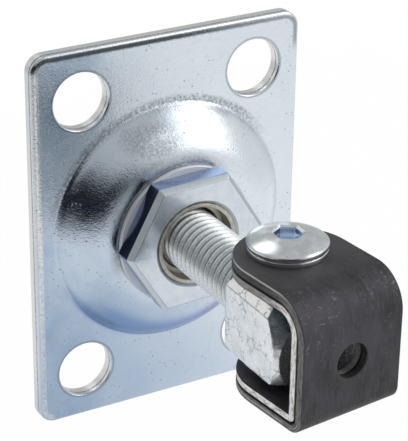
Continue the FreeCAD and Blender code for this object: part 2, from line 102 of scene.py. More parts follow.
class Finish:
    """The node-based finish of one kind of surface. Its place is in millimetres, on the piece or on the flat
    blank that the piece was bent from."""

    def __init__(self, name, blank=None):
        self.material = bpy.data.materials.new(name)
        self.material.use_nodes = True
        self.material.node_tree.nodes.clear()
        source = self.add("ShaderNodeTexCoord")
        if blank:
            self.place = self.add("ShaderNodeAttribute", {"attribute_name": blank}).outputs["Vector"]
        else:
            self.place = self.add("ShaderNodeVectorMath", {"operation": "SCALE"}, {
                0: source.outputs["Object"], "Scale": 1 / MM,
            }).outputs[0]
        self.x, self.y, self.z = self.parts(self.place)
        self.across, self.along, self.upward = self.parts(source.outputs["Normal"])

    def parts(self, vector):
        """The three parts of a vector as signals."""
        split = self.add("ShaderNodeSeparateXYZ", None, {0: vector})
        return [Signal(self, split.outputs[axis]) for axis in range(3)]

    def add(self, kind, settings=None, sockets=None):
        """Adds a node, sets it up first, and then gives its sockets values, signals or links."""
        node = self.material.node_tree.nodes.new(kind)
        for name, value in (settings or {}).items():
            setattr(node, name, value)
        for name, value in (sockets or {}).items():
            value = value.socket if isinstance(value, Signal) else value
            if isinstance(value, bpy.types.NodeSocket):
                self.material.node_tree.links.new(value, node.inputs[name])
            elif hasattr(value, "__len__") and node.inputs[name].type == "RGBA":
                node.inputs[name].default_value = (*value, 1)
            else:
                node.inputs[name].default_value = value
        return node

    def stretched(self, factors):
        """The place on the piece in millimetres, each axis multiplied by its own factor."""
        node = self.add("ShaderNodeVectorMath", {"operation": "MULTIPLY"}, {0: self.place, 1: factors})
        return node.outputs[0]

    def stirred(self, scale, detail):
        """The place on the piece, pushed about by noise of so many blobs for each millimetre."""
        sockets = {"Vector": self.place, "Scale": scale, "Detail": detail}
        push = self.add("ShaderNodeTexNoise", None, sockets).outputs["Color"]
        return self.add("ShaderNodeVectorMath", {"operation": "ADD"}, {0: self.place, 1: push}).outputs[0]

    def cloud(self, grain, detail=3.0, roughness=0.55, place=None, warp=0.0):
        """Noise from 0 to 1 whose blobs are about grain millimetres wide."""
        node = self.add("ShaderNodeTexNoise", None, {
            "Vector": place or self.place, "Scale": 1 / grain, "Detail": detail, "Roughness": roughness,
            "Distortion": warp,
        })
        return Signal(self, node.outputs["Fac"])

    def cells(self, grain, feature="F1", place=None, randomness=1.0):
        """Distance to scattered points, or to the borders between them, in cells about grain wide."""
        node = self.add("ShaderNodeTexVoronoi", {"feature": feature}, {
            "Vector": place or self.place, "Scale": 1 / grain, "Randomness": randomness,
        })
        return Signal(self, node.outputs["Distance"])

    def blend(self, amount, low, high):
        """Mixes two colours."""
        node = self.add("ShaderNodeMix", {"data_type": "RGBA"}, {0: amount, 6: low, 7: high})
        return node.outputs[2]

    def relief(self, height, depth):
        """Bump from a height of 0 to 1 that stands for depth millimetres."""
        links = {"Height": height, "Distance": depth * MM, "Strength": 1.0}
        return self.add("ShaderNodeBump", None, links).outputs[0]

    def finished(self, **sockets):
        """Closes the finish with one shader."""
        named = {name.replace("_", " ").title(): value for name, value in sockets.items()}
        shader = self.add("ShaderNodeBsdfPrincipled", None, named)
        self.add("ShaderNodeOutputMaterial", None, {"Surface": shader.outputs[0]})
        return self.material


def finish_of(piece, material):
    piece.data.materials.clear()
    piece.data.materials.append(material)


def new_piece(name, mesh_builder, body, material, soften=30):
    """Makes the piece from a bmesh in millimetres, with smooth faces and sharp edges past an angle."""
    mesh_builder.normal_update()
    bmesh.ops.recalc_face_normals(mesh_builder, faces=mesh_builder.faces)
    mesh = bpy.data.meshes.new(name)
    mesh_builder.to_mesh(mesh)
    mesh_builder.free()
    mesh.transform(Matrix.Scale(MM, 4))
    mesh.shade_smooth()
    mesh.set_sharp_from_angle(angle=math.radians(soften))
    piece = bpy.data.objects.new(name, mesh)
    bpy.context.scene.collection.objects.link(piece)
    finish_of(piece, material)
    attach(piece, body)
    return piece


def keep_flats_even(piece):
    """Lets the large flat faces set the shading, so that no shadow runs in from a rounded edge."""
    even = piece.modifiers.new("even_normals", "WEIGHTED_NORMAL")
    even.keep_sharp = True


def ring(builder, points):
    return [builder.verts.new(point) for point in points]


def skin(builder, rings, closed=False):
    """Bridges rings of equally many points with quads."""
    pairs = list(zip(rings, rings[1:] + rings[:1] if closed else rings[1:]))
    for first, second in pairs:
        for number in range(len(first)):
            following = (number + 1) % len(first)
            builder.faces.new((first[number], first[following], second[following], second[number]))


def flat_fill(builder, rings):
    """Fills the flat region between an outer ring and the rings of its holes."""
    edges = []
    for points in rings:
        for number in range(len(points)):
            pair = (points[number], points[(number + 1) % len(points)])
            edges.append(builder.edges.get(pair) or builder.edges.new(pair))
    bmesh.ops.triangle_fill(builder, use_beauty=True, use_dissolve=False, edges=edges)


def arc(across, up, radius, begin, finish, steps):
    """Points on an arc about a centre, angles in degrees."""
    turn = [math.radians(begin + (finish - begin) * step / steps) for step in range(steps + 1)]
    return [(across + radius * math.cos(angle), up + radius * math.sin(angle)) for angle in turn]


plate_half = Vector((42.5, 57.5))
plate_thickness = 4.5
plate_corner = 5.0
roll_width, roll_depth = 1.7, 0.75
tear_depth = 3.2
hole_radius = 8.5
hole_out, hole_up = 27.5, 42.5
hole_places = [(side * hole_out, high * hole_up) for side in (-1, 1) for high in (-1, 1)]
dome_crown, dome_foot = 21.0, 36.5
dome_radius, dome_centre = 17.847, -4.347
hollow_radius = dome_radius - 4.2
sleeve_hole = 12.7


def dome_patch_and_painted_light(finish, tint, haze, broad, speckle):
    """Painted shade round the nut and above the dome's foot, a grey speckled patch, and a painted floor
    reflection low down.
    """
    # Grey of the painted shade round the nut and above the dome's foot.
    painted_shade_grey = (0.22, 0.24, 0.26)
    radius = (finish.x * finish.x + finish.z * finish.z) ** 0.5
    upper_left = (finish.z - finish.x * 0.8).between(2, 16)
    # Painted shade: a speckled dark grey ring round the nut's upper left.
    wear_and_painted_shade = (1 - (radius + broad * 8).between(24.5, 28)) * upper_left
    above = (finish.z - finish.x * 0.2).between(12, 26)
    # Painted shade: a speckled darker band round the dome's foot on the upper side, in the crease.
    foot_band_shade = (1 - abs(radius + haze * 2 - (dome_foot + 2.1)).between(0.6, 2.2)) * above
    speckled_nut_shade = wear_and_painted_shade * (speckle.between(0.30, 0.60) * 0.5 + 0.4)
    tint = finish.blend(speckled_nut_shade + foot_band_shade * speckle.between(0.35, 0.6) * 0.7, tint, painted_shade_grey)
    clouded = ((finish.x + 8.5) / 10) ** 2 + ((finish.z - 29) / 4.5) ** 2 + haze * 0.9
    clouded = (1 - clouded.between(0.7, 1.7)) * speckle.between(0.40, 0.58)
    tint = finish.blend(clouded * 0.6, tint, (0.34, 0.36, 0.35))
    # Painted reflection: the dome's lower flank is tinted blue like the floor it mirrors.
    foot = radius.between(26.5, 32) * (1 - radius.between(dome_foot - 0.1, dome_foot + 0.5))
    painted_floor_reflection_blue = finish.blend(finish.x.between(-12, 14), (0.25, 0.38, 0.60), (0.33, 0.36, 0.66))
    return finish.blend(foot * (0 - finish.z).between(13, 25) * 0.92, tint, painted_floor_reflection_blue)


def edge_and_hole_painted_light(finish, tint, speckle):
    """The face's edge, which the blanking tool rolled over, with a painted highlight on the left side, a
    painted dark reflection along the top, and painted shade round the holes.
    """
    past_side = (abs(finish.x) - plate_half.x + plate_corner).at_least(0)
    past_top = (abs(finish.z) - plate_half.y + plate_corner).at_least(0)
    inset = plate_corner - (past_side ** 2 + past_top ** 2) ** 0.5
    front = (0 - finish.along).between(0.25, 0.45)
    # Painted highlight: a pale band on the rounded front edge along the left side.
    painted_edge_highlight = (inset - speckle * 0.8).between(0.1, 0.5) * (1 - (inset + speckle * 0.8).between(2.4, 2.8))
    painted_edge_highlight = painted_edge_highlight * front * (0 - finish.x).between(37, 39) * speckle.between(0.3, 0.6)
    tint = finish.blend(painted_edge_highlight, tint, (0.84, 0.83, 0.79))
    # Painted reflection: a dark band on the rounded front edge along the top.
    painted_edge_reflection = (inset + speckle * 0.3).between(0.55, 0.8) * (1 - (inset + speckle * 1.2).between(2.1, 2.9))
    along_top = (finish.z + finish.x * 0.08).between(48, 53) * (1 - finish.x.between(-10, 50) * 0.5)
    tint = finish.blend(painted_edge_reflection * front * along_top * (0.55 + speckle), tint, (0.08, 0.09, 0.10))
    # Painted shade: a thin dark ring on the face round each hole.
    from_hole = ((abs(finish.x) - hole_out) ** 2 + (abs(finish.z) - hole_up) ** 2) ** 0.5
    painted_hole_shade = 1 - abs(from_hole - (hole_radius + 0.55)).between(0.10, 0.50)
    return finish.blend(painted_hole_shade * (0 - finish.along).between(0.5, 0.9) * 0.6, tint, (0.28, 0.32, 0.34))


def zinc_sheet():
    finish = Finish("zinc_sheet")
    broad = finish.cloud(26, detail=2)
    haze = finish.cloud(7, detail=4, roughness=0.6)
    grain = finish.cloud(0.55, detail=3, roughness=0.7)
    orange_peel = finish.cloud(1.9, detail=2)
    speckle = finish.cloud(0.7, detail=4, roughness=0.75)
    specks = 1 - finish.cells(1.5, place=finish.stirred(0.25, 2.0)).between(0.08, 0.20)
    specks = specks * finish.cloud(7, detail=1).between(0.46, 0.60)
    pits = (1 - finish.cells(0.8).between(0.10, 0.22)) * finish.cloud(5, detail=2).between(0.46, 0.66)
    scratches = finish.cells(14, feature="DISTANCE_TO_EDGE", place=finish.stretched((1, 1, 0.35)))
    scratches = (1 - scratches.between(0.004, 0.012)) * finish.cloud(4, detail=1).between(0.5, 0.62)
    # Painted shade: the face is tinted darker towards the left and in its upper left corner.
    painted_dim_corner = finish.z.between(15, 46) * (1 - finish.x.between(-34, -14))
    painted_shade_drift = (finish.x - painted_dim_corner * 32 + broad * 50).between(-38, 40)
    tint = finish.blend(painted_shade_drift, (0.40, 0.51, 0.64), (0.80, 0.86, 0.90))
    tint = finish.blend(haze.between(0.3, 0.7) * 0.35, tint, (0.76, 0.79, 0.82))
    tint = dome_patch_and_painted_light(finish, tint, haze, broad, speckle)
    tint = edge_and_hole_painted_light(finish, tint, speckle)
    tint = finish.blend(specks * 0.7 + pits * 0.4, tint, (0.22, 0.22, 0.26))
    tint = finish.blend(scratches * 0.15, tint, (0.36, 0.40, 0.46))
    depth = 0 - finish.y
    ragged = depth + grain * 0.5
    cut = 1 - abs(finish.along).between(0.45, 0.8)
    torn = cut * (1 - ragged.between(tear_depth - 0.1, tear_depth + 0.05))
    tear_line = (1 - abs(ragged - tear_depth).between(0.14, 0.34)) * finish.cloud(0.8).between(0.34, 0.46)
    tear_line = tear_line * cut
    rolled_over = depth.between(tear_depth, 3.6) * (1 - depth.between(4.4, 4.8))
    rolled_over = rolled_over * (1 - abs(finish.along).between(0.86, 0.98))
    tint = finish.blend(torn * 0.85, tint, (0.84, 0.82, 0.77))
    tint = finish.blend(rolled_over * 0.6, tint, (0.76, 0.75, 0.72))
    tint = finish.blend(tear_line * 0.85, tint, (0.20, 0.19, 0.18))
    roughness = 0.07 + haze * 0.09 + grain * 0.05 + torn * 0.2
    height = orange_peel * 0.9 + grain * 1.5 - specks * 0.9 - pits * 0.6 - scratches * 0.2 - tear_line
    return finish.finished(
        base_color=tint, metallic=1.0, roughness=roughness, normal=finish.relief(height, 0.045),
    )


def plate_ring(builder, inset, depth):
    """The plate's rounded outline, moved inwards, at a distance from the wall."""
    points = []
    for side, high, begin in ((1, -1, -90), (1, 1, 0), (-1, 1, 90), (-1, -1, 180)):
        centre = (side * (plate_half.x - plate_corner), high * (plate_half.y - plate_corner))
        points += arc(*centre, plate_corner - inset, begin, begin + 90, 12)
    return ring(builder, [(across, -depth, up) for across, up in points])


def round_ring(builder, radius, depth, centre=(0, 0), steps=96):
    turn = [2 * math.pi * step / steps for step in range(steps)]
    return ring(builder, [
        (centre[0] + radius * math.cos(angle), -depth, centre[1] + radius * math.sin(angle)) for angle in turn
    ])


builder = bmesh.new()
outline_profile = [
    (roll_width * (1 - across), plate_thickness - roll_depth * (1 - up))
    for across, up in arc(0, 0, 1, 90, 0, 9)
]
outline_profile += [(0, 0.5), (0.08, 0.2), (0.25, 0)]
outer_rings = [plate_ring(builder, *step) for step in outline_profile]
skin(builder, outer_rings)
front_rings, back_rings = [outer_rings[0]], [outer_rings[-1]]
hole_lip = 0.45
punched = [
    (hole_radius + hole_lip - across, plate_thickness - hole_lip + up)
    for across, up in arc(0, 0, hole_lip, 90, 0, 5)
]
punched += [(hole_radius, 1.6), (hole_radius + 0.04, 1.3), (hole_radius + 0.05, 0.25), (hole_radius + 0.2, 0)]
for centre in hole_places:
    rings = [round_ring(builder, radius, depth, centre, 64) for radius, depth in punched]
    skin(builder, rings)
    front_rings.append(rings[0])
    back_rings.append(rings[-1])
foot_angle = math.degrees(math.atan2(plate_thickness - dome_centre, dome_foot - dome_crown))
crease = 1.6
crease_reach = crease * math.tan(math.radians((90 - foot_angle) / 2))
crease_profile = arc(dome_foot + crease_reach, plate_thickness + crease, crease, -90, -180 + foot_angle, 8)
trim = math.degrees(crease_reach / dome_radius)
shell_profile = [(40.0, plate_thickness)] + crease_profile
shell_profile += arc(dome_crown, dome_centre, dome_radius, foot_angle + trim, 90, 30)
shell_profile += [(17, 13.5), (13.2, 13.5), (12.85, 13.4), (sleeve_hole, 13.2)]
shell_profile += [(sleeve_hole, 9.5), (12.9, 9.3), (16, 9.3)]
mouth_reach = math.sqrt(hollow_radius ** 2 - dome_centre ** 2)
mouth_angle = math.degrees(math.acos(mouth_reach / hollow_radius))
shell_profile += arc(dome_crown, dome_centre, hollow_radius, 90, mouth_angle + 5, 20)
mouth = dome_crown + mouth_reach
shell_profile += [(mouth + 0.35, 0.45), (mouth + 1.0, 0.08), (mouth + 1.8, 0)]
dome_rings = [round_ring(builder, *step, steps=144) for step in shell_profile]
skin(builder, dome_rings)
front_rings.append(dome_rings[0])
back_rings.append(dome_rings[-1])
flat_fill(builder, front_rings)
flat_fill(builder, back_rings)
wall_plate = new_piece("wall_plate_sheet", builder, "wall_plate", zinc_sheet())
keep_flats_even(wall_plate)
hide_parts("back_plate")


# Washers
# Three flat steel rings. The nut turns between one in front of the dome and one in its hollow, and the third
# lies between the eye and the bracket. They are punched, matt zinc plated, and sit loosely in their places.
def handling_marks(finish):
    """Haze, fine grain and small pits, as on all small zinc-plated pieces."""
    haze = finish.cloud(3, detail=4, roughness=0.6)
    grain = finish.cloud(0.3, detail=3, roughness=0.7)
    pits = (1 - finish.cells(1.3).between(0.05, 0.14)) * finish.cloud(6, detail=2).between(0.5, 0.66)
    return haze, grain, pits


def zinc_punched():
    finish = Finish("punched_zinc")
    haze, grain, pits = handling_marks(finish)
    tint = finish.blend(haze.between(0.3, 0.7), (0.66, 0.71, 0.77), (0.77, 0.79, 0.82))
    tint = finish.blend(abs(finish.along).between(0.05, 0.3), (0.95, 0.97, 0.98), tint)
    tint = finish.blend(0.7, tint, (0.93, 0.95, 0.97))
    tint = finish.blend(pits * 0.5, tint, (0.30, 0.31, 0.34))
    return finish.finished(
        base_color=tint, metallic=0.4, roughness=0.37 + haze * 0.10 + grain * 0.05,
        normal=finish.relief(haze * 0.6 + grain * 0.6 - pits * 0.7, 0.02),
    )


punched_zinc = zinc_punched()
for washer in ("front_washer", "rear_washer", "thrust_washer"):
    finish_of(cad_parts[washer], punched_zinc)


# Adjusting nut
# A thick zinc-plated hexagon with a bevel round its face, pressed and welded onto a turned steel sleeve. The
# sleeve's rim shows as a ring round the stud, and its flange holds the nut in the plate from behind.
collar_apothem = 19.15
collar_back, collar_face = 15.05, 22.05
collar_bore = 12.42
collar_corner = 0.5
turn_of_nut = 2.0


def hexagon_ring(builder, apothem, depth):
    """The nut's outline at a distance from the wall, with small round corners."""
    points = []
    centre_distance = (apothem - collar_corner) / math.cos(math.radians(30))
    for number in range(6):
        middle = 60 * number + turn_of_nut
        turned = math.radians(middle)
        centre = (centre_distance * math.cos(turned), centre_distance * math.sin(turned))
        points += arc(*centre, collar_corner, middle - 30, middle + 30, 7)
    return ring(builder, [(across, -depth, up) for across, up in points])


def zinc_hexagon():
    finish = Finish("bright_zinc")
    haze, grain, pits = handling_marks(finish)
    facing = abs(finish.along)
    on_bevel = facing.between(0.25, 0.4) * (1 - facing.between(0.80, 0.88))
    # Painted highlight: the bevel is pale and less metallic on its left part.
    bevel_painted_highlight = on_bevel * (0.15 + (0 - finish.across).between(0.1, 0.4) * 0.85)
    rim = facing.between(0.86, 0.92) * (1 - facing.between(0.985, 0.997))
    tint = finish.blend(haze.between(0.3, 0.7), (0.66, 0.71, 0.77), (0.77, 0.79, 0.82))
    # Painted reflection: the hexagon's six side faces are tinted dark blue.
    tint = finish.blend(facing.between(0.05, 0.3), (0.27, 0.34, 0.52), tint)
    tint = finish.blend(bevel_painted_highlight * 0.9, tint, (0.86, 0.90, 0.89))
    # Painted shade: the upper part of the bevel is tinted darker.
    tint = finish.blend(on_bevel * finish.upward.between(0.2, 0.5) * 0.7, tint, (0.46, 0.53, 0.58))
    tint = finish.blend(rim * 0.8, tint, (0.14, 0.17, 0.19))
    tint = finish.blend(pits * 0.5, tint, (0.30, 0.31, 0.34))
    return finish.finished(
        base_color=tint, metallic=1 - bevel_painted_highlight * 0.55,
        roughness=0.11 + haze * 0.10 + grain * 0.05 + bevel_painted_highlight * 0.3,
        normal=finish.relief(haze * 0.6 + grain * 0.6 - pits * 0.7, 0.02),
    )


builder = bmesh.new()
hexagon_profile = [(0.45, collar_back), (0.12, collar_back + 0.1), (0, collar_back + 0.4)]
hexagon_profile += [(0, 20.15), (0.05, 20.38), (0.18, 20.62)]
hexagon_profile += [(1.02, 21.85), (1.12, 21.97), (1.3, collar_face)]
hexagon_rings = [hexagon_ring(builder, collar_apothem - inset, depth) for inset, depth in hexagon_profile]
skin(builder, hexagon_rings)
bore_profile = [(13.42, collar_face), (13.3, 22.0), (12.5, 21.2), (collar_bore, 21.0)]
bore_profile += [(collar_bore, 15.25), (12.7, collar_back)]
bore_rings = [round_ring(builder, radius, depth) for radius, depth in bore_profile]
skin(builder, bore_rings)
flat_fill(builder, [hexagon_rings[-1], bore_rings[0]])
flat_fill(builder, [hexagon_rings[0], bore_rings[-1]])
collar = new_piece("collar", builder, "adjusting_nut", zinc_hexagon(), soften=38)
keep_flats_even(collar)
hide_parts("adjusting_collar")


def turned_steel():
    finish = Finish("turned_steel")
    rings = (finish.cloud(0.5, detail=2, place=finish.stretched((0.2, 4, 0.2))) - 0.5) * 0.5
    haze = finish.cloud(2.2, detail=4, roughness=0.65)
    tint = finish.blend(haze.between(0.3, 0.7), (0.42, 0.39, 0.33), (0.62, 0.60, 0.54))
    return finish.finished(
        base_color=tint, metallic=1.0, roughness=0.34 + haze * 0.16,
        normal=finish.relief(rings + haze * 0.4, 0.012),
    )


builder = bmesh.new()
sleeve_profile = [
    (9.05, 1.6), (9.5, 1.2), (12.1, 1.2), (12.4, 1.5), (12.4, 4.35), (18.2, 4.35), (18.5, 4.65), (18.5, 7.45),
    (18.2, 7.75), (12.4, 7.75), (12.4, 21.55), (12.35, 21.7), (12.2, 21.75), (11.45, 21.75), (11.28, 21.7),
    (11.2, 21.5), (11.2, 17.4), (11.1, 17.25), (9.85, 17.25), (9.05, 16.45),
]
skin(builder, [round_ring(builder, *step) for step in sleeve_profile], closed=True)
sleeve = new_piece("threaded_sleeve", builder, "adjusting_nut", turned_steel())
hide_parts("adjusting_sleeve")


# Stud
# The steel shank of the eye bolt, with a rolled coarse thread of 2.5 mm pitch on 18 mm. The nut turns on it
# and draws it through the plate. It is zinc plated and bright on the crests, with painted shade in the roots.
stud_radius, thread_pitch, thread_depth = 9.0, 2.5, 1.5
stud_tail, stud_runout, stud_root = 1.0, 57.9, 61.0


def thread_radius(phase):
    """The stud's radius at a place in the pitch from 0 to 1: a rounded crest, two flanks, a rounded root."""
    height = 1 - abs((phase % 1) - 0.5) * 2
    height = min(max((height - 0.16) / 0.68, 0), 1)
    rounded = height * height * (3 - 2 * height)
    return stud_radius - thread_depth + thread_depth * (0.6 * height + 0.4 * rounded)


def envelope(depth):
    """The largest radius at a distance from the wall: a bevelled tail and a flared end at the eye."""
    tail = stud_radius - thread_depth - 0.05 + (depth - stud_tail) * 1.1
    flare = max(depth - stud_runout, 0) / 1.9
    return min(tail, stud_radius + 1.5 * min(flare, 1) ** 1.6)


def stud_mesh(builder):
    around, per_pitch = 72, 16
    turns = int((stud_root - stud_tail) / thread_pitch) + 2
    rows = []
    for row in range(turns * per_pitch + 1):
        points = []
        for step in range(around):
            angle = 2 * math.pi * step / around
            depth = stud_tail - thread_pitch + (row / per_pitch + step / around) * thread_pitch
            held = min(max(depth, stud_tail), stud_root)
            cut = min(max((stud_runout - held) / thread_pitch, 0), 1)
            bare = min(envelope(held), envelope(held) * (1 - cut) + thread_radius(row / per_pitch) * cut)
            radius = bare if stud_tail < depth < stud_root else min(bare, stud_radius - thread_depth - 0.05)
            points.append((radius * math.cos(angle), -held, radius * math.sin(angle)))
        rows.append(ring(builder, points))
    for row in range(len(rows) - 1):
        for step in range(around - 1):
            near, far = rows[row], rows[row + 1]
            builder.faces.new((near[step], near[step + 1], far[step + 1], far[step]))
        onward = row + per_pitch
        if onward + 1 < len(rows):
            builder.faces.new((rows[row][-1], rows[onward][0], rows[onward + 1][0], rows[row + 1][-1]))


builder = bmesh.new()
stud_mesh(builder)
bmesh.ops.remove_doubles(builder, verts=builder.verts, dist=1e-4)
bmesh.ops.dissolve_degenerate(builder, edges=builder.edges, dist=1e-4)
bmesh.ops.holes_fill(builder, edges=[edge for edge in builder.edges if edge.is_boundary], sides=0)


def zinc_thread():
    finish = Finish("zinc_thread")
    radius = (finish.x * finish.x + finish.z * finish.z) ** 0.5
    crest = radius.between(stud_radius - thread_depth * 0.90, stud_radius - thread_depth * 0.35)
    haze = finish.cloud(0.9, detail=4, roughness=0.65)
    tint = finish.blend(haze.between(0.3, 0.7), (0.86, 0.90, 0.91), (0.97, 0.98, 0.97))
    # Painted shade: the thread's roots are tinted nearly black, and the crests stay pale.
    tint = finish.blend(crest, (0.11, 0.14, 0.15), tint)
    return finish.finished(
        base_color=tint, metallic=0.45, roughness=0.18 + haze * 0.16, normal=finish.relief(haze, 0.014),
    )


stud = new_piece("threaded_stud", builder, "eye", zinc_thread(), soften=60)
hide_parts("eye_bolt")


# Eye
# The square steel eye is forged in one with the stud and bored for the pin. Its upper long edges and its
# nose are bevelled, all other edges are soft from forging, and the zinc looks whitish on the rough skin.
pin_line = -69.0


def carved(builder, planes):
    """A solid block cut down by planes, each given by a point and the direction that is cut away."""
    bmesh.ops.create_cube(builder, size=240)
    for point, outward in planes:
        everything = builder.verts[:] + builder.edges[:] + builder.faces[:]
        bmesh.ops.bisect_plane(
            builder, geom=everything, plane_co=point, plane_no=Vector(outward).normalized(), clear_outer=True,
        )
        rim = [edge for edge in builder.edges if edge.is_boundary]
        bmesh.ops.holes_fill(builder, edges=rim, sides=0)
    bmesh.ops.recalc_face_normals(builder, faces=builder.faces)


eye_half, eye_top, eye_under = 13.5, 11.2, -10.8
eye_back, eye_nose = pin_line + 9.2, pin_line - 16.8
bevel_high, bevel_wide = 2.8, 2.0
eye_planes = [
    ((eye_half, 0, 0), (1, 0, 0)), ((-eye_half, 0, 0), (-1, 0, 0)),
    ((0, 0, eye_top), (0, 0, 1)), ((0, 0, eye_under), (0, 0, -1)),
    ((0, eye_back, 0), (0, 1, 0)), ((0, eye_nose, 0), (0, -1, 0)),
    ((eye_half, 0, eye_top - bevel_high), (bevel_high, 0, bevel_wide)),
    ((-eye_half, 0, eye_top - bevel_high), (-bevel_high, 0, bevel_wide)),
]
nose_axis, nose_radius, nose_slope = -3.0, eye_half - 1.45, (1.1, 1.45)
for angle in range(0, 360, 12):
    around = Vector((math.cos(math.radians(angle)), 0, math.sin(math.radians(angle))))
    tip = Vector((0, eye_nose, nose_axis)) + nose_radius * around
    eye_planes.append((tip, nose_slope[0] * around + Vector((0, -nose_slope[1], 0))))
back_round = 3.2
for angle in (22.5, 45, 67.5):
    fall = Vector((0, math.cos(math.radians(angle)), math.sin(math.radians(angle))))
    for high, edge in ((1, eye_top), (-1, eye_under)):
        tilt = Vector((0, fall.y, high * fall.z))
        centre = Vector((0, eye_back - back_round, edge - high * back_round))
        eye_planes.append((centre + back_round * tilt, tilt))
builder = bmesh.new()
carved(builder, eye_planes)
bmesh.ops.bevel(
    builder, geom=builder.edges[:], offset=0.5, segments=2, affect="EDGES", profile=0.5, clamp_overlap=True,
)


def zinc_forged():
    finish = Finish("zinc_forged")
    skin_marks = finish.cloud(1.3, detail=5, roughness=0.62)
    broad = finish.cloud(6, detail=3)
    folds = finish.cells(2.6, feature="DISTANCE_TO_EDGE", place=finish.stirred(0.9, 3.0))
    folds = (1 - folds.between(0.015, 0.045)) * finish.cloud(4.5, detail=2).between(0.50, 0.58)
    pits = (1 - finish.cells(0.9).between(0.06, 0.20)) * finish.cloud(3.5, detail=2).between(0.50, 0.62)
    edge_line = 1 - abs(finish.z - (eye_top - 2.95)).between(0.10, 0.30)
    edge_line = edge_line * abs(finish.x).between(13.0, 13.2)
    edge_line = edge_line * finish.cloud(1.2, detail=2).between(0.36, 0.50)
    dark_marks = folds.at_least(pits * 0.2).at_least(edge_line)
    bevel = abs(finish.across).between(0.55, 0.7) * finish.upward.between(0.35, 0.5)
    tint = finish.blend(broad.between(0.35, 0.65), (0.82, 0.84, 0.85), (0.93, 0.94, 0.93))
    tint = finish.blend(bevel, tint, (0.97, 0.97, 0.95))
    # Painted reflection: the upward-facing facets of the nose are tinted dark teal.
    nose = (0 - finish.along).between(0.35, 0.55) * (1 - (0 - finish.along).between(0.90, 0.97))
    tint = finish.blend(nose * finish.upward.between(0.25, 0.45), tint, (0.14, 0.21, 0.23))
    tint = finish.blend(dark_marks * 0.6, tint, (0.24, 0.26, 0.27))
    return finish.finished(
        base_color=tint, metallic=0.85 + bevel * 0.15,
        roughness=0.20 + skin_marks * 0.16 + bevel * 0.05,
        normal=finish.relief(skin_marks * 0.8 + broad * 0.6 - dark_marks * 0.5, 0.06),
    )


zinc_forged_finish = zinc_forged()
eye = new_piece("forged_eye", builder, "eye", zinc_forged_finish, soften=50)
bore_cutter = bmesh.new()
cut_rings = [(8.05, -12.3), (6.05, -10.3), (6.05, 10.7), (8.05, 12.7)]
cutter_rings = []
for radius, height in cut_rings:
    turn = [2 * math.pi * step / 72 for step in range(72)]
    cutter_rings.append(ring(bore_cutter, [
        (radius * math.cos(angle), pin_line + radius * math.sin(angle), height) for angle in turn
    ]))
skin(bore_cutter, cutter_rings)
bore_cutter.faces.new(cutter_rings[0])
bore_cutter.faces.new(cutter_rings[-1])
cutter_piece = new_piece("bore_cutter", bore_cutter, "eye", zinc_forged_finish)


def apply_modifiers(piece):
    """Turns the piece's modifiers into plain mesh."""
    graph = bpy.context.evaluated_depsgraph_get()
    result = bpy.data.meshes.new_from_object(piece.evaluated_get(graph))
    piece.modifiers.clear()
    piece.data = result


bored = eye.modifiers.new("bore", "BOOLEAN")
bored.object = cutter_piece
bored.operation = "DIFFERENCE"
bored.solver = "EXACT"
voxels = eye.modifiers.new("skin", "REMESH")
voxels.mode = "VOXEL"
voxels.voxel_size = 0.3 * MM
apply_modifiers(eye)
bpy.data.objects.remove(cutter_piece)
softened = eye.modifiers.new("softened", "SMOOTH")
softened.iterations = 8
softened.factor = 0.5
apply_modifiers(eye)
outward = [vertex.normal.copy() for vertex in eye.data.vertices]
for vertex, direction in zip(eye.data.vertices, outward):
    where = vertex.co / MM
    swell = noise.noise(where * 0.16) * 0.14 + noise.noise(where * 0.5) * 0.05 - 0.16
    vertex.co += direction * swell * MM
eye.data.shade_smooth()
finish_of(eye, zinc_forged_finish)
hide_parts("eye_bolt")


# Strap bracket
# Two bent straps of 2.5 mm hot-rolled strip lie one inside the other and are clamped by the pin. They keep
# their dark mill scale on the faces, and bare sheared metal on the edges and in the holes.
bracket_swing = math.radians(6.5)
strip_half, strip_thickness = 16.5, 2.5
upper_reach, lower_reach = 13.3, 10.3


def at_pin(piece):
    """Puts a piece that is drawn about the pin's axis in its place on the bracket."""
    piece.matrix_world = Matrix.Translation((0, pin_line * MM, 0)) @ Matrix.Rotation(bracket_swing, 4, "Z")
    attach(piece, "bracket")


class BentPath:
    """The side view of one face of a strap, from the upper leg's end round the web to the lower leg's end."""

    def __init__(self, web, top, bottom, upper_bend, lower_bend):
        self.web, self.top, self.bottom = web, top, bottom
        self.upper_bend, self.lower_bend = upper_bend, lower_bend

    def point(self, zone, share):
        """The point at a share of one of the two bends, as (forward, up)."""
        web, top, bottom, upper, lower = self.web, self.top, self.bottom, self.upper_bend, self.lower_bend
        if zone == "upper_bend":
            angle = math.radians(90 * (1 + share))
            return upper - web + upper * math.cos(angle), top - upper + upper * math.sin(angle)
        angle = math.radians(90 * (2 + share))
        return lower - web + lower * math.cos(angle), lower - bottom + lower * math.sin(angle)


